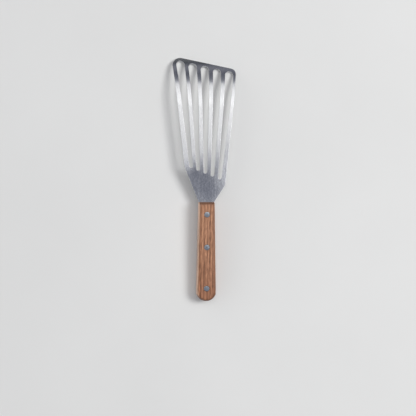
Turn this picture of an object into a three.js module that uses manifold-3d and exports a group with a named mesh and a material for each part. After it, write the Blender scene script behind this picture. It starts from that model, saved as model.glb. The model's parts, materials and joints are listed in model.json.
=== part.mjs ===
// Slotted fish turner: a curled steel blade with a full tang between two riveted wooden scales.
// Millimetres and degrees. The tool is drawn flat, with x across it, y from the handle's front end
// towards the tip and z = 0 in the middle of the sheet. It is then laid down as it rests on a table.
import * as THREE from 'three';
import { mergeVertices } from 'three/addons/utils/BufferGeometryUtils.js';
import Module from 'manifold-3d';

// Blade sheet, its slight bend at the base of the bars and its downward curl
const sheetThickness = 1.2;
const neckBendStart = 32;
const neckBendRadius = 680;
const neckBendAngle = 2.5;
const curlStart = 117;
const curlRadius = 103;
const curlAngle = 33;

// Blade outline in plan
const bladeLength = 169;
const frontSlant = 11.7;
const leftShoulderOut = 27.0;
const leftShoulderReach = 43;
const leftFlare = 6.1;
const rightShoulderOut = 22.6;
const rightShoulderReach = 20.5;
const rightFlare = 5.9;
const leftCornerRadius = 10;
const rightCornerRadius = 6.5;
const leftShoulderRadius = 22;
const rightShoulderRadius = 9;
const neckFillet = 9;

// Draining slots, narrow at the neck and wide at the front
const slotCount = 5;
const frontBand = 4.0;
const slotFrontRadius = 5.0;
const slotFrontPitch = 14.5;
const slotFrontOffset = -1.0;
const neckWeb = 34.5;
const neckWebSlant = 21.4;
const slotNeckRadius = 2.2;
const slotNeckPitch = 8.8;
const slotNeckOffset = -1.6;

// Wooden handle
const handleLength = 120;
const handleFrontWidth = 18.6;
const handleButtWidth = 23;
const buttBulge = 8;
const scaleThickness = 7.2;
const scaleEdgeRadius = 2.6;

// Compression rivets, placed back from the handle's front end
const frontRivetBack = 15;
const middleRivetBack = 54.5;
const rearRivetBack = 104.5;
const rivetHeadDiameter = 7;
const rivetHeadThickness = 1.6;
const rivetDome = 0.6;
const rivetTubeDiameter = 5;
const rivetTubeWall = 0.9;
const rivetPinChamfer = 0.4;
const rivetSocketFloor = 1.2;

// Gap between pieces that touch
const seatClearance = 0.3;

// Facets of round shapes, and rounds of settling on the table
const arcFacets = 6;
const curlFacets = 6;
const edgeFacets = 4;
const roundFacets = 20;
const domeFacets = 3;
const settleRounds = 12;

const degrees = THREE.MathUtils.degToRad;
const wasm = await Module();
wasm.setup();

// Boolean solids

function toSolid(geometry) {
  geometry.deleteAttribute('normal');
  geometry.deleteAttribute('uv');
  const merged = mergeVertices(geometry);
  const vertProperties = new Float32Array(merged.attributes.position.array);
  const triVerts = new Uint32Array(merged.index.array);
  return new wasm.Manifold(new wasm.Mesh({ numProp: 3, vertProperties, triVerts }));
}

function toGeometry(solid) {
  const mesh = solid.getMesh();
  const geometry = new THREE.BufferGeometry();
  geometry.setAttribute('position', new THREE.BufferAttribute(mesh.vertProperties, 3));
  geometry.setIndex(new THREE.BufferAttribute(mesh.triVerts, 1));
  geometry.computeVertexNormals();
  return geometry;
}

// Plan outlines

const handleHalf = sheetThickness / 2 + seatClearance + scaleThickness;
const buttStart = handleLength - buttBulge;
const buttRadius = (handleButtWidth ** 2 / 4 + buttBulge ** 2) / (2 * buttBulge);
const buttSpread = Math.asin(handleButtWidth / 2 / buttRadius);

// Adds the round butt, from its left corner to its right one
function addButt(shape) {
  const down = -Math.PI / 2;
  shape.absarc(0, buttRadius - handleLength, buttRadius, down - buttSpread, down + buttSpread, false);
}

// Adds a corner rounded to a radius, between the points before and after it
function addCorner(shape, before, corner, after, radius) {
  const inward = before.clone().sub(corner).normalize();
  const outward = after.clone().sub(corner).normalize();
  const halfAngle = Math.acos(inward.dot(outward)) / 2;
  const middle = inward.clone().add(outward).normalize();
  const centre = corner.clone().addScaledVector(middle, radius / Math.sin(halfAngle));
  const reach = radius / Math.tan(halfAngle);
  const first = corner.clone().addScaledVector(inward, reach).sub(centre);
  const last = corner.clone().addScaledVector(outward, reach).sub(centre);
  const clockwise = inward.cross(outward) > 0;
  shape.absarc(centre.x, centre.y, radius, first.angle(), last.angle(), clockwise);
}

// The front edge is a slanted line through the end of the blade's centre line
function frontEdgeReach(x) {
  return bladeLength - x * Math.tan(degrees(frontSlant));
}

// The side of the blade runs out from its shoulder to the front edge
function frontCorner(shoulder, flare, side) {
  const spread = side * Math.tan(degrees(flare));
  const slant = Math.tan(degrees(frontSlant));
  const x = (shoulder.x + spread * (bladeLength - shoulder.y)) / (1 + spread * slant);
  return new THREE.Vector2(x, frontEdgeReach(x));
}

function bladeOutline() {
  const leftNeck = new THREE.Vector2(-handleFrontWidth / 2, 0);
  const rightNeck = new THREE.Vector2(handleFrontWidth / 2, 0);
  const leftButt = new THREE.Vector2(-handleButtWidth / 2, -buttStart);
  const rightButt = new THREE.Vector2(handleButtWidth / 2, -buttStart);
  const leftShoulder = new THREE.Vector2(-leftShoulderOut, leftShoulderReach);
  const rightShoulder = new THREE.Vector2(rightShoulderOut, rightShoulderReach);
  const leftFront = frontCorner(leftShoulder, leftFlare, -1);
  const rightFront = frontCorner(rightShoulder, rightFlare, 1);
  const shape = new THREE.Shape();
  addButt(shape);
  addCorner(shape, rightButt, rightNeck, rightShoulder, neckFillet);
  addCorner(shape, rightNeck, rightShoulder, rightFront, rightShoulderRadius);
  addCorner(shape, rightShoulder, rightFront, leftFront, rightCornerRadius);
  addCorner(shape, rightFront, leftFront, leftShoulder, leftCornerRadius);
  addCorner(shape, leftFront, leftShoulder, leftNeck, leftShoulderRadius);
  addCorner(shape, leftShoulder, leftNeck, leftButt, neckFillet);
  shape.closePath();
  return shape;
}

function handleOutline() {
  const shape = new THREE.Shape();
  addButt(shape);
  shape.lineTo(handleFrontWidth / 2, 0);
  shape.lineTo(-handleFrontWidth / 2, 0);
  shape.closePath();
  return shape;
}

// A slot has a round end at the neck, a larger one at the front and straight sides tangent to both
function slotOutline(index) {
  const step = index - (slotCount - 1) / 2;
  const neckX = slotNeckOffset + step * slotNeckPitch;
  const neckReach = neckWeb + slotNeckRadius - step * slotNeckPitch * Math.tan(degrees(neckWebSlant));
  const frontX = slotFrontOffset + step * slotFrontPitch;
  const frontGap = (frontBand + slotFrontRadius) / Math.cos(degrees(frontSlant));
  const neckEnd = new THREE.Vector2(neckX, neckReach);
  const frontEnd = new THREE.Vector2(frontX, frontEdgeReach(frontX) - frontGap);
  const along = frontEnd.clone().sub(neckEnd);
  const taper = Math.asin((slotFrontRadius - slotNeckRadius) / along.length());
  const quarter = Math.PI / 2;
  const right = along.angle() - quarter - taper;
  const left = along.angle() + quarter + taper;
  const path = new THREE.Path();
  path.absarc(frontEnd.x, frontEnd.y, slotFrontRadius, right, left, false);
  path.absarc(neckEnd.x, neckEnd.y, slotNeckRadius, left, right, false);
  path.closePath();
  return path;
}

// Rivet sizes

const tubeRadius = rivetTubeDiameter / 2;
const tubeBore = tubeRadius - rivetTubeWall;
const pinRadius = tubeBore - seatClearance;
const headRadius = rivetHeadDiameter / 2;
const holeRadius = tubeRadius + seatClearance;
const counterboreRadius = headRadius + seatClearance;
const headSeat = handleHalf - rivetHeadThickness;
const counterboreFloor = headSeat - seatClearance;
const rivetPlaces = { front: -frontRivetBack, middle: -middleRivetBack, rear: -rearRivetBack };

function tangHole(y) {
  const path = new THREE.Path();
  path.absarc(0, y, holeRadius, 0, Math.PI, false);
  path.absarc(0, y, holeRadius, Math.PI, 2 * Math.PI, false);
  return path;
}

// Turns a profile of [radius, height] points about the z axis, at a rivet's place
function turned(profile, y) {
  const points = profile.map(([radius, height]) => new THREE.Vector2(radius, height));
  return new THREE.LatheGeometry(points, roundFacets).rotateX(Math.PI / 2).translate(0, y, 0);
}

// Blade

// Side view of the sheet: flat tang and neck, a slight bend, flat blade, curl and a straight end
function sheetProfile(tipReach) {
  const up = Math.PI / 2;
  const bendEnd = up - degrees(neckBendAngle);
  const curlEnd = bendEnd - degrees(curlAngle);
  const half = sheetThickness / 2;
  const backEnd = -2 * handleLength;
  const bendNormal = new THREE.Vector2(Math.cos(bendEnd), Math.sin(bendEnd));
  const curlNormal = new THREE.Vector2(Math.cos(curlEnd), Math.sin(curlEnd));
  const bend = new THREE.Vector2(neckBendStart, -neckBendRadius);
  const flatStart = bend.clone().addScaledVector(bendNormal, neckBendRadius);
  const flatDrop = (curlStart - flatStart.x) * Math.tan(degrees(neckBendAngle));
  const flatEnd = new THREE.Vector2(curlStart, flatStart.y - flatDrop);
  const curl = flatEnd.clone().addScaledVector(bendNormal, -curlRadius);
  const arcEnd = curl.clone().addScaledVector(curlNormal, curlRadius);
  const tip = arcEnd.clone().add(new THREE.Vector2(curlNormal.y, -curlNormal.x).multiplyScalar(tipReach));
  const topTip = tip.clone().addScaledVector(curlNormal, half);
  const bottomTip = tip.clone().addScaledVector(curlNormal, -half);
  const shape = new THREE.Shape();
  shape.moveTo(backEnd, half);
  shape.lineTo(neckBendStart, half);
  shape.absarc(bend.x, bend.y, neckBendRadius + half, up, bendEnd, true);
  shape.absarc(curl.x, curl.y, curlRadius + half, bendEnd, curlEnd, true);
  shape.lineTo(topTip.x, topTip.y);
  shape.lineTo(bottomTip.x, bottomTip.y);
  shape.absarc(curl.x, curl.y, curlRadius - half, curlEnd, bendEnd, false);
  shape.absarc(bend.x, bend.y, neckBendRadius - half, bendEnd, up, false);
  shape.lineTo(backEnd, -half);
  shape.closePath();
  return shape;
}

function bladeGeometry() {
  const outline = bladeOutline();
  for (let index = 0; index < slotCount; index += 1) {
    outline.holes.push(slotOutline(index));
  }
  for (const y of Object.values(rivetPlaces)) {
    outline.holes.push(tangHole(y));
  }
  const box = new THREE.Box2().setFromPoints(outline.getPoints(arcFacets));

  const profile = sheetProfile(box.max.y);
  const width = 2 * (box.max.x - box.min.x);
  const sheet = new THREE.ExtrudeGeometry(profile, {
    depth: width, steps: 1, curveSegments: curlFacets, bevelEnabled: false,
  });
  const toSideView = new THREE.Matrix4().makeBasis(
    new THREE.Vector3(0, 1, 0), new THREE.Vector3(0, 0, 1), new THREE.Vector3(1, 0, 0));
  sheet.applyMatrix4(toSideView).translate(2 * box.min.x, 0, 0);

  const cutDepth = box.max.y + curlRadius;
  const cut = new THREE.ExtrudeGeometry(outline, {
    depth: 2 * cutDepth, steps: 1, curveSegments: arcFacets, bevelEnabled: false,
  });
  cut.translate(0, 0, -cutDepth);
  return toGeometry(toSolid(sheet).intersect(toSolid(cut)));
}

// Handle scales

// Removes the rivets' holes and the head recesses of both sides
function rivetCutter(y) {
  const outside = 2 * handleHalf;
  const profile = [
    [0, -outside], [counterboreRadius, -outside], [counterboreRadius, -counterboreFloor],
    [holeRadius, -counterboreFloor], [holeRadius, counterboreFloor],
    [counterboreRadius, counterboreFloor], [counterboreRadius, outside], [0, outside],
  ];
  return toSolid(turned(profile, y));
}

// One half of the handle, on the upper side (1) or the lower side (-1) of the tang
function scaleGeometry(side) {
  const edge = Math.min(scaleEdgeRadius, scaleThickness);
  const handle = new THREE.ExtrudeGeometry(handleOutline(), {
    depth: 2 * (handleHalf - edge), steps: 1, curveSegments: arcFacets,
    bevelThickness: edge, bevelSize: edge, bevelOffset: -edge, bevelSegments: edgeFacets,
  });
  handle.translate(0, 0, edge - handleHalf);
  const height = 2 * scaleThickness;
  const width = handleFrontWidth + handleButtWidth;
  const halfSpace = new THREE.BoxGeometry(width, 3 * handleLength, height);
  const seat = sheetThickness / 2 + seatClearance;
  halfSpace.translate(0, 0, side * (seat + height / 2));
  let solid = toSolid(handle).intersect(toSolid(halfSpace));
  for (const y of Object.values(rivetPlaces)) {
    solid = solid.subtract(rivetCutter(y));
  }
  return toGeometry(solid);
}

// Compression rivets

// Points of the domed head, from its rim to its middle
function domePoints() {
  const sphere = (headRadius ** 2 + rivetDome ** 2) / (2 * rivetDome);
  const spread = Math.asin(headRadius / sphere);
  const points = [];
  for (let step = 0; step <= domeFacets; step += 1) {
    const angle = spread * (1 - step / domeFacets);
    points.push([sphere * Math.sin(angle), handleHalf + rivetDome - sphere * (1 - Math.cos(angle))]);
  }
  return points;
}

const socketFloor = rivetSocketFloor - handleHalf;

// The upper half: a domed head on a pin that reaches down into the socket
function rivetPinGeometry(y) {
  const pinEnd = socketFloor + seatClearance;
  return turned([
    [0, pinEnd], [pinRadius - rivetPinChamfer, pinEnd], [pinRadius, pinEnd + rivetPinChamfer],
    [pinRadius, headSeat], [headRadius, headSeat], ...domePoints(),
  ], y);
}

// The lower half: a domed head on a tube that passes through both scales and the tang
function rivetSocketGeometry(y) {
  const tubeEnd = headSeat - seatClearance;
  const dome = domePoints().map(([radius, height]) => [radius, -height]).reverse();
  return turned([
    ...dome, [headRadius, -headSeat], [tubeRadius, -headSeat], [tubeRadius, tubeEnd],
    [tubeBore, tubeEnd], [tubeBore, socketFloor], [0, socketFloor],
  ], y);
}

// Assembly

const steel = new THREE.MeshStandardMaterial({ color: 0xb4b8be, roughness: 0.32, metalness: 1 });
const wood = new THREE.MeshStandardMaterial({ color: 0xa0765d, roughness: 0.55, metalness: 0 });
const rivetSteel = new THREE.MeshStandardMaterial({ color: 0xc2c6cc, roughness: 0.25, metalness: 1 });

const tool = new THREE.Group();

function addPiece(name, geometry, material) {
  const mesh = new THREE.Mesh(geometry, material);
  mesh.name = name;
  tool.add(mesh);
}

addPiece('blade', bladeGeometry(), steel);
addPiece('upper_scale', scaleGeometry(1), wood);
addPiece('lower_scale', scaleGeometry(-1), wood);
for (const [place, y] of Object.entries(rivetPlaces)) {
  addPiece(`${place}_rivet_pin`, rivetPinGeometry(y), rivetSteel);
  addPiece(`${place}_rivet_socket`, rivetSocketGeometry(y), rivetSteel);
}

// Resting pose

function allPoints() {
  const points = [];
  for (const mesh of tool.children) {
    const positions = mesh.geometry.attributes.position;
    for (let index = 0; index < positions.count; index += 1) {
      points.push(new THREE.Vector3().fromBufferAttribute(positions, index));
    }
  }
  return points;
}

function lowest(points, up) {
  return points.reduce((best, point) => (point.dot(up) < best.dot(up) ? point : best));
}

// The table's upward normal when both front corners and the butt touch it
function restingNormal() {
  const points = allPoints();
  const leftFront = points.filter((point) => point.y > curlStart && point.x < 0);
  const rightFront = points.filter((point) => point.y > curlStart && point.x > 0);
  const butt = points.filter((point) => point.y < 0);
  let up = new THREE.Vector3(0, 0, 1);
  for (let round = 0; round < settleRounds; round += 1) {
    const [left, right, back] = [leftFront, rightFront, butt].map((zone) => lowest(zone, up));
    const forward = left.clone().sub(back);
    up = right.clone().sub(back).cross(forward).normalize();
  }
  return up;
}

tool.quaternion.setFromUnitVectors(restingNormal(), new THREE.Vector3(0, 0, 1));
const spatula = new THREE.Group();
spatula.add(tool);
const extent = new THREE.Box3().setFromObject(spatula, true);
const middle = extent.getCenter(new THREE.Vector3());
tool.position.set(-middle.x, -middle.y, -extent.min.z);

export default spatula;
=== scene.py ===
import json
import math

import bmesh
import bpy
from mathutils import Matrix, Vector


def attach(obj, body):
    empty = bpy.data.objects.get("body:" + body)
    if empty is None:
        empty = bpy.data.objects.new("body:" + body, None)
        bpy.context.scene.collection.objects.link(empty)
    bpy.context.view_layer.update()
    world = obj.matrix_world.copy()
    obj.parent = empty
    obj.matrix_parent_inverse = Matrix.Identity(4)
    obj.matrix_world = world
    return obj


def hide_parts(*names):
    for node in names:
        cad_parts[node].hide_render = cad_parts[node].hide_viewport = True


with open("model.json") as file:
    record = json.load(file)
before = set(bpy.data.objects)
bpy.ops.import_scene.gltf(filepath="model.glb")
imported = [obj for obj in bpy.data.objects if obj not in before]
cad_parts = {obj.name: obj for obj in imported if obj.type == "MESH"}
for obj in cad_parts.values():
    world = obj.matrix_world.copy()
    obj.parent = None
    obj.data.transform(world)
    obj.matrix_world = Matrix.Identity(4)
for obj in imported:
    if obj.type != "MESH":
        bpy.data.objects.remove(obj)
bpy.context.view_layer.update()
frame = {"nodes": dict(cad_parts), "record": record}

# Slotted fish turner on a pale studio floor, in metres and degrees. Its pieces are drawn in the tool's own
# axes: x across, y from the handle's front end towards the tip and z = 0 in the middle of the steel sheet.

# Blade sheet: a slight bend at the base of the bars and a downward curl
SHEET_THICKNESS = 0.0012
SHEET_EDGE_RADIUS = 0.00006
SHEET_EDGE_MARGIN = 0.00015
NECK_BEND_MIDDLE = 0.0468
NECK_BEND_REACH = 0.0185
NECK_BEND_GROWTH = 30
NECK_BEND_ANGLE = 2.5
CURL_START = 0.117
CURL_RADIUS = 0.103
CURL_ANGLE = 33

# Blade outline in plan
BLADE_LENGTH = 0.169
FRONT_SLANT = 11.7
LEFT_SHOULDER = (-0.027, 0.043)
RIGHT_SHOULDER = (0.0226, 0.0205)
LEFT_FLARE = 6.35
RIGHT_FLARE = 5.9
LEFT_CORNER_RADIUS = 0.010
RIGHT_CORNER_RADIUS = 0.0065
LEFT_SHOULDER_RADIUS = 0.022
RIGHT_SHOULDER_RADIUS = 0.009
NECK_FILLET = 0.009

# Draining slots
SLOT_COUNT = 5
FRONT_BAND = 0.004
SLOT_FRONT_RADIUS = 0.005
SLOT_FRONT_PITCH = 0.0148
SLOT_FRONT_OFFSET = -0.0013
NECK_WEB = 0.0345
NECK_WEB_SLANT = 21.4
SLOT_NECK_RADIUS = 0.0022
SLOT_NECK_PITCH = 0.0088
SLOT_NECK_OFFSET = -0.0016

# Handle and rivets
HANDLE_FRONT_WIDTH = 0.0186
BUTT_BULGE = 0.008
BUTT_CORNER_RADIUS = 0.003
SCALE_EDGE_RADIUS = 0.0018
SCALE_FRONT_RADIUS = 0.0042
SCALE_BUTT_RADIUS = 0.003
SCALE_CROWN = 0.0003
SEAT_GAP = 0.00005
RIVET_HEAD_RADIUS = 0.0035
RIVET_HEAD_THICKNESS = 0.0016
RIVET_DOME = 0.00012
RIVET_RIM = 0.0003
RIVET_TUBE_RADIUS = 0.0025
RIVET_BORE_RADIUS = 0.0016
RIVET_SOCKET_FLOOR = 0.0012
RIVET_PIN_CHAMFER = 0.0004

# Mesh fineness. The butt's corners take the place of a few points at each end of its arc.
ARC_STEPS = 14
SLOT_END_STEPS = 28
BUTT_STEPS = 42
BUTT_CORNER_POINTS = 4
EDGE_STEPS = 4
TURN_STEPS = 72
DOME_STEPS = 8
SHEET_GRID = 0.0025
WOOD_GRID = 0.0015
SNAP = 1e-6
SHARP_ANGLE = 40

# Blends: the usual span of noise, and shares that grow or fade over a span
NOISE_SPAN = (0.3, 0.7)
GROW = (0.0, 1.0)
FADE = (1.0, 0.0)

# Phase that a wave texture gains per metre at a scale of 1
WAVE_RATE = 20

# Blade steel: noise sizes along x, y and z, and tones as (place, colour) stops
BRUSHING_SIZE = (0.0006, 0.05, 0.05)
SPECKLE_SIZE = (0.0012, 0.006, 0.02)
STAIN_SIZE = (0.0022, 0.003, 0.02)
RUBBING_SIZE = (0.012, 0.03, 0.05)
BRUSHING_WEIGHT = 0.6
SPECKLE_WEIGHT = 0.4
STEEL_TONES = [(0.3, (0.53, 0.54, 0.56)), (0.7, (0.73, 0.735, 0.745))]
# Faint stains on the web. Their tones sit mostly below 1, so they also darken the web slightly as painted
# shade
STAIN_AND_SHADE_TONES = [(0.36, (0.87, 0.87, 0.89)), (0.64, (1.08, 1.08, 1.10))]
STEEL_RELIEF = 0.00001
STEEL_RELIEF_STRENGTH = 0.4

# Where the blade's steel is rougher: places along x or y, or how far a cut edge faces sideways or back
STEEL_ROUGHNESS = (0.08, 0.13)
RUBBED_ROUGHNESS = 0.05
PATCH_ROUGHNESS = 0.09
NECK_ROUGHNESS = 0.05
CUT_ROUGHNESS = 0.35
WEB_END = (0.03, 0.07)
RIGHT_PATCH_SIDE = (0.004, 0.02)
LEFT_PATCH_SIDE = (-0.025, -0.014)
LEFT_PATCH_START = (0.032, 0.04)
LEFT_PATCH_END = (0.045, 0.07)
NECK_END = (0.0, 0.014)
CUT_SIDE = (0.04, 0.2)
CUT_BACK = (0.2, 0.5)

# Handle wood: bands, fibres, pores, end grain and grain lines, with painted light on the left side and
# painted shade along the edges and ends
BAND_SIZE = (0.0013, 0.07, 0.004)
FIBRE_SIZE = (0.0009, 0.010, 0.0012)
PORE_SIZE = (0.0007, 0.007, 0.0009)
RING_SIZE = (0.0009, 0.03, 0.0004)
FINE_ROUGHNESS = 0.65
LINE_PITCH = 0.0038
LINE_PHASE = -0.8
LINE_WANDER = 2.0
LINE_WANDER_SCALE = 0.3
BAND_WEIGHT = 0.46
FIBRE_WEIGHT = 0.48
LINE_WEIGHT = 0.06
WOOD_TONES = [
    (0.40, (0.15, 0.062, 0.029)), (0.465, (0.29, 0.131, 0.067)),
    (0.535, (0.40, 0.188, 0.101)), (0.60, (0.59, 0.294, 0.165)),
]
# Paler tones painted on the left side of the handle: painted light standing in for light from the left
PAINTED_LIGHT_TONES = [(0.40, (0.44, 0.27, 0.18)), (0.605, (0.86, 0.60, 0.45))]
# Dark end grain at the front and the butt, also spread over the rounded ends as painted shade
END_GRAIN_AND_SHADE_TONES = [(0.38, (0.085, 0.037, 0.021)), (0.62, (0.235, 0.112, 0.066))]
PORE_COLOUR = (0.11, 0.05, 0.026, 1)
WORN_TINT = (0.82, 0.75, 0.72, 1)
# Painted shade: a dark band along the rounded side edges of the handle
EDGE_SHADE_COLOUR = (0.13, 0.056, 0.03, 1)
WOOD_ROUGHNESS = (0.44, 0.56)
WOOD_SPECULAR = 0.35
WOOD_RELIEF = 0.00006
WOOD_RELIEF_STRENGTH = 0.6
FIBRE_HEIGHT = 0.5

# Where the wood's tones blend: noise values, places along y, or how far a surface faces one way
PORE_SPAN = (0.56, 0.70)
PORE_SHARE = 0.5
WORN_SPAN = (-0.115, -0.05)
# How far a rounded side edge turns before the painted shade starts and where it ends
EDGE_SHADE_START = (0.06, 0.2)
EDGE_SHADE_END = (0.3, 0.5)
EDGE_SHADE_SHARE = 0.55
# How far a surface faces left before it takes the painted light
PAINTED_LIGHT_SPAN = (0.35, 0.7)
PAINTED_LIGHT_SHARE = 0.75
# How far a surface faces along the handle before it takes the dark end grain and painted shade
END_GRAIN_AND_SHADE_SPAN = (0.12, 0.55)
END_GRAIN_AND_SHADE_SHARE = 0.95

# Rivet steel
SANDING_SIZE = (0.00025, 0.004, 0.004)
TARNISH_SIZE = (0.0018, 0.0018, 0.0018)
RIVET_TONES = [(0.3, (0.42, 0.45, 0.49)), (0.7, (0.56, 0.58, 0.61))]
RIVET_ROUGHNESS = (0.15, 0.24)

# Studio floor
FLOOR_SIZE = 24.0
CLOUD_SIZE = (0.25, 0.25, 0.25)
FLOOR_TONES = [(0.3, (0.74, 0.74, 0.725)), (0.7, (0.77, 0.77, 0.755))]
FLOOR_ROUGHNESS = 0.7
FLOOR_SPECULAR = 0.2

# Studio light: a key lamp, and sky colours by the lean from straight up, in degrees towards +Y or +X
KEY_DIRECTION = (0.81, 0.17, 1.0)
KEY_DISTANCE = 4.0
KEY_SIZE = 1.6
KEY_POWER = 92
BLACK = (0, 0, 0)
WHITE = (1, 1, 1)
PANEL_LIGHT = [
    (-90, (0.30, 0.31, 0.34)), (-8, (0.27, 0.285, 0.33)), (-4.3, (0.30, 0.315, 0.37)),
    (-3, (0.10, 0.11, 0.15)), (-1.8, (0.14, 0.15, 0.19)), (-0.5, (0.42, 0.43, 0.47)),
    (3.3, (0.90, 0.90, 0.91)), (5.2, (1.19, 1.19, 1.19)), (5.7, (1.36, 1.36, 1.35)),
    (12.7, (1.47, 1.47, 1.46)), (26, (1.30, 1.30, 1.30)), (35.5, (1.10, 1.10, 1.11)),
    (42.5, (0.25, 0.26, 0.30)), (53, (0.125, 0.13, 0.16)), (57, (0.20, 0.205, 0.24)),
    (61, (0.255, 0.26, 0.30)), (66.5, (0.20, 0.205, 0.235)), (70, (0.065, 0.07, 0.085)),
    (74, (0.17, 0.175, 0.185)), (90, (0.15, 0.15, 0.16)),
]
SIDE_LIGHT = [
    (-90, (1.6, 1.6, 1.6)), (-70, (1.4, 1.4, 1.4)), (-48, (0.5, 0.5, 0.52)),
    (-25, (0.25, 0.25, 0.27)), (60, (0.22, 0.22, 0.24)),
]
PANEL_SHARE = [(-22, BLACK), (-8, WHITE), (35, WHITE), (51, BLACK)]

# Camera above the tool, in the photograph's frame
IMAGE_SIZE = 416
CAMERA_CENTRE = (0.0051, -0.0351)
CAMERA_HEIGHT = 1.3
METRES_PER_PIXEL = 0.0012245
CAMERA_TURN = 0.25
SENSOR_WIDTH = 36


# Trigonometry in degrees

def sine(angle):
    return math.sin(math.radians(angle))


def cosine(angle):
    return math.cos(math.radians(angle))


def tangent(angle):
    return math.tan(math.radians(angle))


# The tool's own axes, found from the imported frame

mounts = {mount["name"]: mount for mount in frame["record"]["mounts"]}
up = Vector(mounts["handle_top"]["axis"])
tilt = Vector((0, 0, 1)).rotation_difference(up)


def tilted_box(node):
    """Lowest and highest corner of a CAD node, measured along the tool's axes."""
    turned_back = tilt.inverted()
    points = [turned_back @ vertex.co for vertex in frame["nodes"][node].data.vertices]
    columns = list(zip(*points))
    return Vector(map(min, columns)), Vector(map(max, columns))


upper_low, upper_high = tilted_box("upper_scale")
lower_bottom = tilted_box("lower_scale")[0].z
handle_half = (upper_high.z - lower_bottom) / 2
handle_length = upper_high.y - upper_low.y
butt_width = upper_high.x - upper_low.x
handle_middle = (upper_low.x + upper_high.x) / 2
tool_origin = tilt @ Vector((handle_middle, upper_high.y, (upper_high.z + lower_bottom) / 2))
tool_to_world = Matrix.Translation(tool_origin) @ tilt.to_matrix().to_4x4()


def rivet_place(name):
    low, high = tilted_box(name + "_rivet_pin")
    return (low.y + high.y) / 2 - upper_high.y


rivet_places = {name: rivet_place(name) for name in ("front", "middle", "rear")}


# Plan outlines, counter-clockwise round material and clockwise round holes

def direction(angle):
    return Vector((math.cos(angle), math.sin(angle)))


def rounded(corners):
    """The outline through (point, radius) corners, with an arc at each corner that has a radius."""
    points = []
    for index, (corner, radius) in enumerate(corners):
        if radius == 0:
            points.append(corner)
            continue
        before = corners[index - 1][0]
        after = corners[(index + 1) % len(corners)][0]
        inward = (before - corner).normalized()
        outward = (after - corner).normalized()
        half_angle = inward.angle(outward) / 2
        centre = corner + (inward + outward).normalized() * radius / math.sin(half_angle)
        first = corner + inward * radius / math.tan(half_angle) - centre
        turn = math.copysign(math.pi - 2 * half_angle, -inward.cross(outward))
        for step in range(ARC_STEPS + 1):
            points.append(centre + Matrix.Rotation(turn * step / ARC_STEPS, 2) @ first)
    return points


def circle(x, y, radius):
    """A round hole."""
    angles = [-2 * math.pi * step / TURN_STEPS for step in range(TURN_STEPS)]
    return [Vector((x + radius * math.cos(angle), y + radius * math.sin(angle))) for angle in angles]


def butt_radius():
    return ((butt_width / 2) ** 2 + BUTT_BULGE ** 2) / (2 * BUTT_BULGE)


def butt_arc():
    """Points of the round butt, from its left corner to its right one."""
    radius = butt_radius()
    spread = math.asin(butt_width / 2 / radius)
    angles = [spread * (2 * step / BUTT_STEPS - 1) for step in range(BUTT_STEPS + 1)]
    centre = radius - handle_length
    return [Vector((radius * math.sin(angle), centre - radius * math.cos(angle))) for angle in angles]


def butt_corners():
    """The butt as corners for an outline, its two ends slightly rounded."""
    points = butt_arc()
    middle = [(point, 0) for point in points[BUTT_CORNER_POINTS:-BUTT_CORNER_POINTS]]
    return [(points[0], BUTT_CORNER_RADIUS), *middle, (points[-1], BUTT_CORNER_RADIUS)]


def front_edge(x):
    return BLADE_LENGTH - x * tangent(FRONT_SLANT)


def front_corner(shoulder, flare, side):
    """Where a side of the blade, flaring out from its shoulder, meets the slanted front edge."""
    spread = side * tangent(flare)
    x = (shoulder.x + spread * (BLADE_LENGTH - shoulder.y)) / (1 + spread * tangent(FRONT_SLANT))
    return Vector((x, front_edge(x)))


def blade_outline():
    left_shoulder = Vector(LEFT_SHOULDER)
    right_shoulder = Vector(RIGHT_SHOULDER)
    return rounded([
        *butt_corners(),
        (Vector((HANDLE_FRONT_WIDTH / 2, 0)), NECK_FILLET),
        (right_shoulder, RIGHT_SHOULDER_RADIUS),
        (front_corner(right_shoulder, RIGHT_FLARE, 1), RIGHT_CORNER_RADIUS),
        (front_corner(left_shoulder, LEFT_FLARE, -1), LEFT_CORNER_RADIUS),
        (left_shoulder, LEFT_SHOULDER_RADIUS),
        (Vector((-HANDLE_FRONT_WIDTH / 2, 0)), NECK_FILLET),
    ])


def handle_outline():
    return rounded([
        *butt_corners(),
        (Vector((HANDLE_FRONT_WIDTH / 2, 0)), 0),
        (Vector((-HANDLE_FRONT_WIDTH / 2, 0)), 0),
    ])


def slot_outline(index):
    """A slot: a small round end at the neck, a larger one at the front and sides tangent to both."""
    place = index - (SLOT_COUNT - 1) / 2
    neck_x = SLOT_NECK_OFFSET + place * SLOT_NECK_PITCH
    neck_y = NECK_WEB + SLOT_NECK_RADIUS - place * SLOT_NECK_PITCH * tangent(NECK_WEB_SLANT)
    front_x = SLOT_FRONT_OFFSET + place * SLOT_FRONT_PITCH
    front_y = front_edge(front_x) - (FRONT_BAND + SLOT_FRONT_RADIUS) / cosine(FRONT_SLANT)
    along = Vector((front_x - neck_x, front_y - neck_y))
    heading = math.atan2(along.y, along.x)
    taper = math.asin((SLOT_FRONT_RADIUS - SLOT_NECK_RADIUS) / along.length)
    reach = math.pi / 2 + taper
    points = []
    for step in range(SLOT_END_STEPS + 1):
        angle = heading + reach - 2 * reach * step / SLOT_END_STEPS
        points.append(Vector((front_x, front_y)) + SLOT_FRONT_RADIUS * direction(angle))
    for step in range(SLOT_END_STEPS + 1):
        angle = heading - reach - 2 * (math.pi - reach) * step / SLOT_END_STEPS
        points.append(Vector((neck_x, neck_y)) + SLOT_NECK_RADIUS * direction(angle))
    return points


# Meshes

def inset(points, distance):
    """The outline moved sideways into the material."""
    moved = []
    for index, point in enumerate(points):
        before = (point - points[index - 1]).normalized()
        after = (points[(index + 1) % len(points)] - point).normalized()
        first = Vector((-before.y, before.x))
        second = Vector((-after.y, after.x))
        moved.append(point + (first + second) * distance / (1 + first.dot(second)))
    return moved


def ring_edges(shape, ring):
    """The edges along a closed ring of vertices."""
    return [shape.edges.get((ring[index - 1], vertex)) for index, vertex in enumerate(ring)]


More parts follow.
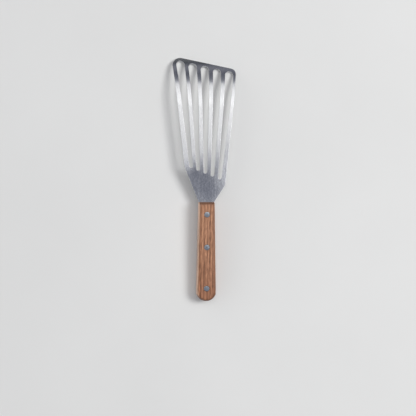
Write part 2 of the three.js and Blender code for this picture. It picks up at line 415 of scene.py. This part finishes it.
def plate(outlines):
    """A plate with holes, from (outline, profile) pairs. A profile lists (inset, height), bottom to top."""
    shape = bmesh.new()
    bottom_edges = []
    top_edges = []
    for points, profile in outlines:
        rings = []
        for distance, height in profile:
            rings.append([shape.verts.new((point.x, point.y, height)) for point in inset(points, distance)])
        count = len(points)
        for lower, upper in zip(rings, rings[1:]):
            for index in range(count):
                after = (index + 1) % count
                shape.faces.new((lower[index], lower[after], upper[after], upper[index]))
        bottom_edges += ring_edges(shape, rings[0])
        top_edges += ring_edges(shape, rings[-1])
    bmesh.ops.triangle_fill(shape, use_beauty=True, edges=bottom_edges)
    bmesh.ops.triangle_fill(shape, use_beauty=True, edges=top_edges)
    return shape


def cut_grid(shape, axis, spacing):
    """Cuts the mesh across an axis (0 or 1) at even steps, so that it can bend smoothly."""
    reach = [vertex.co[axis] for vertex in shape.verts]
    normal = Vector((0, 0, 0))
    normal[axis] = 1
    first = math.ceil(min(reach) / spacing)
    last = math.floor(max(reach) / spacing)
    for step in range(first, last + 1):
        geometry = shape.verts[:] + shape.edges[:] + shape.faces[:]
        place = normal * step * spacing
        bmesh.ops.bisect_plane(shape, geom=geometry, dist=SNAP, plane_co=place, plane_no=normal)


def lathe(profile, y):
    """Turns (radius, height) points about an upright axis at a rivet's place."""
    shape = bmesh.new()
    rings = []
    for radius, height in profile:
        ring = []
        for step in range(TURN_STEPS if radius > 0 else 1):
            angle = 2 * math.pi * step / TURN_STEPS
            ring.append(shape.verts.new((radius * math.cos(angle), y + radius * math.sin(angle), height)))
        rings.append(ring)
    for lower, upper in zip(rings, rings[1:]):
        for index in range(TURN_STEPS):
            corners = [lower[index % len(lower)], lower[(index + 1) % len(lower)],
                       upper[(index + 1) % len(upper)], upper[index % len(upper)]]
            shape.faces.new(list(dict.fromkeys(corners)))
    return shape


def add_piece(shape, node, material):
    """Finishes a mesh, places it in the world and lets it stand for its CAD node."""
    bmesh.ops.dissolve_degenerate(shape, dist=SNAP, edges=shape.edges)
    bmesh.ops.recalc_face_normals(shape, faces=shape.faces)
    if shape.calc_volume(signed=True) < 0:
        bmesh.ops.reverse_faces(shape, faces=shape.faces)
    mesh = bpy.data.meshes.new(node + "_look")
    shape.to_mesh(mesh)
    shape.free()
    mesh.transform(tool_to_world)
    mesh.shade_smooth()
    mesh.set_sharp_from_angle(angle=math.radians(SHARP_ANGLE))
    mesh.materials.append(material)
    piece = bpy.data.objects.new(node + "_look", mesh)
    bpy.context.scene.collection.objects.link(piece)
    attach(piece, "root")
    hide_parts(node)


def edge_profile(bottom, top, bottom_radius, top_radius):
    """(inset, height) points of an upright edge with a rounded lower and upper rim."""
    profile = []
    for radius, height, side in ((bottom_radius, bottom, 1), (top_radius, top, -1)):
        if radius == 0:
            profile.append((0, height))
            continue
        rim = []
        for step in range(EDGE_STEPS + 1):
            angle = 90 * step / EDGE_STEPS
            rim.append((radius * (1 - sine(angle)), height + side * radius * (1 - cosine(angle))))
        profile += rim if side == 1 else rim[::-1]
    return profile


# Blade

def sheet_place(x, y):
    """Height and slope angle of the middle of the sheet, whose neck bend is sharper on the left."""
    reach = NECK_BEND_REACH * math.exp(NECK_BEND_GROWTH * (x - SLOT_NECK_OFFSET))
    bend_start = NECK_BEND_MIDDLE - reach
    bend_end = NECK_BEND_MIDDLE + reach
    bend_radius = 2 * reach / sine(NECK_BEND_ANGLE)
    curl_reach = CURL_RADIUS * (sine(NECK_BEND_ANGLE + CURL_ANGLE) - sine(NECK_BEND_ANGLE))
    curl_end = CURL_START + curl_reach
    height = 0
    slope = 0
    if y > bend_start:
        slope = math.asin((min(y, bend_end) - bend_start) / bend_radius)
        height -= bend_radius * (1 - math.cos(slope))
    if y > bend_end:
        height -= (min(y, CURL_START) - bend_end) * tangent(NECK_BEND_ANGLE)
    if y > CURL_START:
        slope = math.asin(sine(NECK_BEND_ANGLE) + (min(y, curl_end) - CURL_START) / CURL_RADIUS)
        height -= CURL_RADIUS * (cosine(NECK_BEND_ANGLE) - math.cos(slope))
    if y > curl_end:
        height -= (y - curl_end) * math.tan(slope)
    return height, slope


def make_blade(material):
    """The steel sheet: cut flat with its slots and rivet holes, then bent."""
    half = SHEET_THICKNESS / 2
    flat = SHEET_EDGE_RADIUS + SHEET_EDGE_MARGIN
    rim = edge_profile(-half, half, SHEET_EDGE_RADIUS, SHEET_EDGE_RADIUS)
    rim = [(flat, -half), *rim, (flat, half)]
    holes = [slot_outline(index) for index in range(SLOT_COUNT)]
    holes += [circle(0, y, RIVET_TUBE_RADIUS + SEAT_GAP) for y in rivet_places.values()]
    shape = plate([(points, rim) for points in [blade_outline(), *holes]])
    cut_grid(shape, 0, SHEET_GRID)
    cut_grid(shape, 1, SHEET_GRID)
    for vertex in shape.verts:
        height, slope = sheet_place(vertex.co.x, vertex.co.y)
        offset = vertex.co.z
        vertex.co.y += offset * math.sin(slope)
        vertex.co.z = height + offset * math.cos(slope)
    add_piece(shape, "blade", material)


# Handle scales

def round_over(radius, distance):
    """How far a rounded end has dropped at a distance from the end."""
    reach = min(max(radius - distance, 0), radius)
    return radius - math.sqrt(radius ** 2 - reach ** 2)


def butt_distance(point):
    """Distance inwards from the round butt."""
    radius = butt_radius()
    centre = radius - handle_length
    if point.y > centre:
        return radius
    return radius - math.hypot(point.x, point.y - centre)


def make_scale(node, side, material):
    """One wooden half of the handle, on the upper (1) or the lower (-1) side of the tang."""
    seat = SHEET_THICKNESS / 2 + SEAT_GAP
    rim = edge_profile(seat, handle_half, 0, SCALE_EDGE_RADIUS)
    bore = RIVET_TUBE_RADIUS + SEAT_GAP
    recess = RIVET_HEAD_RADIUS - RIVET_TUBE_RADIUS
    recess_floor = handle_half - RIVET_HEAD_THICKNESS - SEAT_GAP
    hole = [(0, seat), (0, recess_floor), (recess, recess_floor), (recess, handle_half)]
    outlines = [(handle_outline(), rim)]
    outlines += [(circle(0, y, bore), hole) for y in rivet_places.values()]
    shape = plate(outlines)
    cut_grid(shape, 0, WOOD_GRID)
    cut_grid(shape, 1, WOOD_GRID)
    half_width = butt_width / 2
    for vertex in shape.verts:
        rise = (vertex.co.z - seat) / (handle_half - seat)
        vertex.co.z -= SCALE_CROWN * rise * (vertex.co.x / half_width) ** 2
        vertex.co.z -= rise * round_over(SCALE_FRONT_RADIUS, -vertex.co.y)
        vertex.co.z -= rise * round_over(SCALE_BUTT_RADIUS, butt_distance(vertex.co))
        vertex.co.z *= side
    add_piece(shape, node, material)


# Rivets

def dome_points():
    """The domed head's profile, from its rim to its middle."""
    radius = RIVET_HEAD_RADIUS - RIVET_RIM
    sphere = (radius ** 2 + RIVET_DOME ** 2) / (2 * RIVET_DOME)
    spread = math.asin(radius / sphere)
    points = []
    for step in range(DOME_STEPS + 1):
        angle = spread * (1 - step / DOME_STEPS)
        points.append((sphere * math.sin(angle), handle_half + RIVET_DOME - sphere * (1 - math.cos(angle))))
    return points


def make_rivet(name, material):
    """A compression rivet: a pin with a domed head, pressed into a tube with another."""
    y = rivet_places[name]
    head_seat = handle_half - RIVET_HEAD_THICKNESS
    rim_height = handle_half - RIVET_RIM
    socket_floor = RIVET_SOCKET_FLOOR - handle_half
    pin_radius = RIVET_BORE_RADIUS - SEAT_GAP
    pin_end = socket_floor + SEAT_GAP
    pin = [
        (0, pin_end), (pin_radius - RIVET_PIN_CHAMFER, pin_end), (pin_radius, pin_end + RIVET_PIN_CHAMFER),
        (pin_radius, head_seat), (RIVET_HEAD_RADIUS, head_seat), (RIVET_HEAD_RADIUS, rim_height),
        *dome_points(),
    ]
    add_piece(lathe(pin, y), name + "_rivet_pin", material)
    tube_end = head_seat - SEAT_GAP
    dome = [(radius, -height) for radius, height in reversed(dome_points())]
    socket = [
        *dome, (RIVET_HEAD_RADIUS, -rim_height), (RIVET_HEAD_RADIUS, -head_seat),
        (RIVET_TUBE_RADIUS, -head_seat), (RIVET_TUBE_RADIUS, tube_end),
        (RIVET_BORE_RADIUS, tube_end), (RIVET_BORE_RADIUS, socket_floor), (0, socket_floor),
    ]
    add_piece(lathe(socket, y), name + "_rivet_socket", material)


# Shader nodes

def add_node(tree, kind, inputs=None, **settings):
    """Adds a shader node. An input is a value, or another node's output to link."""
    made = tree.nodes.new(kind)
    for key, value in settings.items():
        setattr(made, key, value)
    for key, value in (inputs or {}).items():
        if isinstance(value, bpy.types.NodeSocket):
            tree.links.new(value, made.inputs[key])
        else:
            made.inputs[key].default_value = value
    return made


def new_material(name):
    material = bpy.data.materials.new(name)
    material.use_nodes = True
    return material, material.node_tree, material.node_tree.nodes["Principled BSDF"]


def tool_position(tree):
    """A surface point along the tool's own axes."""
    coordinates = add_node(tree, "ShaderNodeTexCoord")
    mapping = add_node(tree, "ShaderNodeMapping", {
        "Vector": coordinates.outputs["Object"], "Location": tool_origin, "Rotation": tilt.to_euler(),
    }, vector_type="TEXTURE")
    return mapping.outputs["Vector"]


def noise(tree, position, size, detail=3.0, roughness=0.55):
    """Noise from 0 to 1 whose blobs have this size along x, y and z."""
    scale = [1 / length for length in size]
    mapping = add_node(tree, "ShaderNodeMapping", {"Vector": position, "Scale": scale})
    texture = add_node(tree, "ShaderNodeTexNoise", {
        "Vector": mapping.outputs["Vector"], "Scale": 1.0, "Detail": detail, "Roughness": roughness,
    })
    return texture.outputs["Fac"]


def ramp(tree, value, stops):
    """A colour ramp through (place, colour) stops."""
    made = add_node(tree, "ShaderNodeValToRGB", {"Fac": value})
    elements = made.color_ramp.elements
    while len(elements) < len(stops):
        elements.new(1.0)
    for element, (place, colour) in zip(elements, stops):
        element.position = place
        element.color = (*colour, 1)
    return made.outputs["Color"]


def between(tree, value, span, target):
    """Maps a value from a span onto a target range, and holds it there."""
    made = add_node(tree, "ShaderNodeMapRange", {
        "Value": value, "From Min": span[0], "From Max": span[1], "To Min": target[0], "To Max": target[1],
    })
    return made.outputs["Result"]


def combine(tree, operation, first, second):
    made = add_node(tree, "ShaderNodeMath", {0: first, 1: second}, operation=operation)
    return made.outputs["Value"]


def weighted(tree, parts):
    """The sum of (value, weight) pairs."""
    total = 0.0
    for value, weight in parts:
        total = combine(tree, "ADD", total, combine(tree, "MULTIPLY", value, weight))
    return total


def mix(tree, blend, share, first, second):
    made = add_node(tree, "ShaderNodeMix", {"Factor": share, "A": first, "B": second},
                    data_type="RGBA", blend_type=blend)
    return made.outputs["Result"]


def bump(tree, height, distance, strength):
    made = add_node(tree, "ShaderNodeBump", {"Height": height, "Distance": distance, "Strength": strength})
    return made.outputs["Normal"]


def facing(tree, axis):
    """How far a surface faces along one of the tool's axes."""
    geometry = add_node(tree, "ShaderNodeNewGeometry")
    made = add_node(tree, "ShaderNodeVectorMath", {0: geometry.outputs["Normal"], 1: tilt @ Vector(axis)},
                    operation="DOT_PRODUCT")
    return made.outputs["Value"]


def facing_either(tree, axis):
    """How far a surface faces either way along one of the tool's axes."""
    return combine(tree, "ABSOLUTE", facing(tree, axis), 0)


# Materials

def blade_steel():
    """Satin stainless sheet, brushed lengthwise: faint stains on the web that also darken it slightly as
    painted shade, duller patches and cut edges.
    """
    material, tree, shader = new_material("blade_steel")
    position = tool_position(tree)
    axes = add_node(tree, "ShaderNodeSeparateXYZ", {"Vector": position})
    across = axes.outputs["X"]
    along = axes.outputs["Y"]
    brushing = noise(tree, position, BRUSHING_SIZE, detail=4)
    speckle = noise(tree, position, SPECKLE_SIZE, detail=2)
    stain = noise(tree, position, STAIN_SIZE, detail=2)
    rubbing = noise(tree, position, RUBBING_SIZE, detail=2)
    web = between(tree, along, WEB_END, FADE)

    tone = weighted(tree, [(brushing, BRUSHING_WEIGHT), (speckle, SPECKLE_WEIGHT)])
    colour = ramp(tree, tone, STEEL_TONES)
    stained_and_shaded = ramp(tree, stain, STAIN_AND_SHADE_TONES)
    # The web's faint stains, mostly darkening, add a slight painted shade to the web
    tree.links.new(mix(tree, "MULTIPLY", web, colour, stained_and_shaded), shader.inputs["Base Color"])

    rubbed = between(tree, rubbing, NOISE_SPAN, (0.0, RUBBED_ROUGHNESS))
    right = combine(tree, "MULTIPLY", between(tree, across, RIGHT_PATCH_SIDE, (0.0, PATCH_ROUGHNESS)), web)
    left = combine(tree, "MULTIPLY", between(tree, across, LEFT_PATCH_SIDE, (PATCH_ROUGHNESS, 0.0)),
                   between(tree, along, LEFT_PATCH_START, GROW))
    left = combine(tree, "MULTIPLY", left, between(tree, along, LEFT_PATCH_END, FADE))
    neck = between(tree, along, NECK_END, (NECK_ROUGHNESS, 0.0))
    cut_side = between(tree, facing_either(tree, (1, 0, 0)), CUT_SIDE, (0.0, CUT_ROUGHNESS))
    cut_back = between(tree, facing(tree, (0, -1, 0)), CUT_BACK, (0.0, CUT_ROUGHNESS))
    roughness = between(tree, brushing, NOISE_SPAN, STEEL_ROUGHNESS)
    for share in (rubbed, right, left, neck, cut_side, cut_back):
        roughness = combine(tree, "ADD", roughness, share)
    tree.links.new(roughness, shader.inputs["Roughness"])

    relief = bump(tree, brushing, STEEL_RELIEF, STEEL_RELIEF_STRENGTH)
    tree.links.new(relief, shader.inputs["Normal"])
    shader.inputs["Metallic"].default_value = 1.0
    return material


def handle_wood():
    """Oiled reddish-brown hardwood: grain lines, fibres, pores, painted light on the left side, painted
    shade along the rounded edges, and dark end grain with painted shade on the rounded ends.
    """
    material, tree, shader = new_material("handle_wood")
    position = tool_position(tree)
    axes = add_node(tree, "ShaderNodeSeparateXYZ", {"Vector": position})
    bands = noise(tree, position, BAND_SIZE, detail=2)
    fibres = noise(tree, position, FIBRE_SIZE, detail=4, roughness=FINE_ROUGHNESS)
    pores = noise(tree, position, PORE_SIZE, detail=2)
    rings = noise(tree, position, RING_SIZE, detail=4, roughness=FINE_ROUGHNESS)
    lines = add_node(tree, "ShaderNodeTexWave", {
        "Vector": position, "Scale": 2 * math.pi / (WAVE_RATE * LINE_PITCH), "Phase Offset": LINE_PHASE,
        "Distortion": LINE_WANDER, "Detail": 2.0, "Detail Scale": LINE_WANDER_SCALE,
    }, bands_direction="X").outputs["Fac"]
    tone = weighted(tree, [(bands, BAND_WEIGHT), (fibres, FIBRE_WEIGHT), (lines, LINE_WEIGHT)])

    pore_share = between(tree, pores, PORE_SPAN, (0.0, PORE_SHARE))
    worn_share = between(tree, axes.outputs["Y"], WORN_SPAN, FADE)
    side = facing_either(tree, (1, 0, 0))
    # Painted shade in a band along the rounded side edges
    edge_shade_share = combine(tree, "MINIMUM", between(tree, side, EDGE_SHADE_START, (0.0, EDGE_SHADE_SHARE)),
                        between(tree, side, EDGE_SHADE_END, (EDGE_SHADE_SHARE, 0.0)))
    # The left side is painted paler: painted light
    painted_light_share = between(tree, facing(tree, (-1, 0, 0)), PAINTED_LIGHT_SPAN, (0.0, PAINTED_LIGHT_SHARE))
    # Dark end grain, also painted over the rounded ends as shade
    end_grain_and_shade_share = between(tree, facing_either(tree, (0, 1, 0)), END_GRAIN_AND_SHADE_SPAN, (0.0, END_GRAIN_AND_SHADE_SHARE))
    colour = ramp(tree, tone, WOOD_TONES)
    colour = mix(tree, "MIX", pore_share, colour, PORE_COLOUR)
    colour = mix(tree, "MULTIPLY", worn_share, colour, WORN_TINT)
    colour = mix(tree, "MIX", edge_shade_share, colour, EDGE_SHADE_COLOUR)
    colour = mix(tree, "MIX", painted_light_share, colour, ramp(tree, tone, PAINTED_LIGHT_TONES))
    colour = mix(tree, "MIX", end_grain_and_shade_share, colour, ramp(tree, rings, END_GRAIN_AND_SHADE_TONES))
    tree.links.new(colour, shader.inputs["Base Color"])

    tree.links.new(between(tree, fibres, NOISE_SPAN, WOOD_ROUGHNESS), shader.inputs["Roughness"])
    height = combine(tree, "SUBTRACT", combine(tree, "MULTIPLY", fibres, FIBRE_HEIGHT), pore_share)
    relief = bump(tree, height, WOOD_RELIEF, WOOD_RELIEF_STRENGTH)
    tree.links.new(relief, shader.inputs["Normal"])
    shader.inputs["Specular IOR Level"].default_value = WOOD_SPECULAR
    return material


def rivet_steel():
    """Polished rivet heads with a fine sanded grain and a little tarnish."""
    material, tree, shader = new_material("rivet_steel")
    position = tool_position(tree)
    sanding = noise(tree, position, SANDING_SIZE)
    tarnish = noise(tree, position, TARNISH_SIZE)
    tree.links.new(ramp(tree, tarnish, RIVET_TONES), shader.inputs["Base Color"])
    tree.links.new(between(tree, sanding, NOISE_SPAN, RIVET_ROUGHNESS), shader.inputs["Roughness"])
    relief = bump(tree, sanding, STEEL_RELIEF, STEEL_RELIEF_STRENGTH)
    tree.links.new(relief, shader.inputs["Normal"])
    shader.inputs["Metallic"].default_value = 1.0
    return material


def floor_material():
    """A plain pale floor with very faint clouds."""
    material, tree, shader = new_material("studio_floor")
    coordinates = add_node(tree, "ShaderNodeTexCoord")
    clouds = noise(tree, coordinates.outputs["Object"], CLOUD_SIZE, detail=4)
    tree.links.new(ramp(tree, clouds, FLOOR_TONES), shader.inputs["Base Color"])
    shader.inputs["Roughness"].default_value = FLOOR_ROUGHNESS
    shader.inputs["Specular IOR Level"].default_value = FLOOR_SPECULAR
    return material


# Studio

def make_floor():
    half = FLOOR_SIZE / 2
    mesh = bpy.data.meshes.new("studio_floor")
    corners = [(-half, -half, 0), (half, -half, 0), (half, half, 0), (-half, half, 0)]
    mesh.from_pydata(corners, [], [(0, 1, 2, 3)])
    mesh.materials.append(floor_material())
    floor = bpy.data.objects.new("studio_floor", mesh)
    bpy.context.scene.collection.objects.link(floor)


def make_key():
    toward = Vector(KEY_DIRECTION).normalized()
    lamp = bpy.data.lights.new("key", "AREA")
    lamp.shape = "DISK"
    lamp.size = KEY_SIZE
    lamp.energy = KEY_POWER
    light = bpy.data.objects.new("key", lamp)
    light.location = toward * KEY_DISTANCE
    light.rotation_mode = "QUATERNION"
    light.rotation_quaternion = toward.to_track_quat("Z", "Y")
    bpy.context.scene.collection.objects.link(light)


def lean_ramp(tree, axes, name, stops):
    """A colour by how far a direction leans from straight up, in degrees towards +X or +Y."""
    lean = combine(tree, "ARCTAN2", axes.outputs[name], axes.outputs["Z"])
    place = between(tree, lean, (-math.pi / 2, math.pi / 2), GROW)
    return ramp(tree, place, [((angle + 90) / 180, colour) for angle, colour in stops])


def make_world():
    """An overhead panel, brightest just past the zenith, between dim sides and a bright left horizon."""
    world = bpy.data.worlds.new("studio")
    world.use_nodes = True
    bpy.context.scene.world = world
    tree = world.node_tree
    coordinates = add_node(tree, "ShaderNodeTexCoord")
    axes = add_node(tree, "ShaderNodeSeparateXYZ", {"Vector": coordinates.outputs["Generated"]})
    panel = lean_ramp(tree, axes, "Y", PANEL_LIGHT)
    sides = lean_ramp(tree, axes, "X", SIDE_LIGHT)
    share = lean_ramp(tree, axes, "X", PANEL_SHARE)
    tree.links.new(mix(tree, "MIX", share, sides, panel), tree.nodes["Background"].inputs["Color"])


def make_camera():
    data = bpy.data.cameras.new("camera")
    data.sensor_width = SENSOR_WIDTH
    half_view = IMAGE_SIZE * METRES_PER_PIXEL / 2
    data.lens = SENSOR_WIDTH / 2 * CAMERA_HEIGHT / half_view
    camera = bpy.data.objects.new("camera", data)
    camera.location = (*CAMERA_CENTRE, CAMERA_HEIGHT)
    camera.rotation_euler = (0, 0, math.radians(CAMERA_TURN))
    bpy.context.scene.collection.objects.link(camera)
    bpy.context.scene.camera = camera


make_camera()
make_floor()
make_key()
make_world()

make_blade(blade_steel())
wood = handle_wood()
make_scale("upper_scale", 1, wood)
make_scale("lower_scale", -1, wood)
rivets = rivet_steel()
for rivet in rivet_places:
    make_rivet(rivet, rivets)

bpy.context.scene.view_settings.view_transform = "Standard"
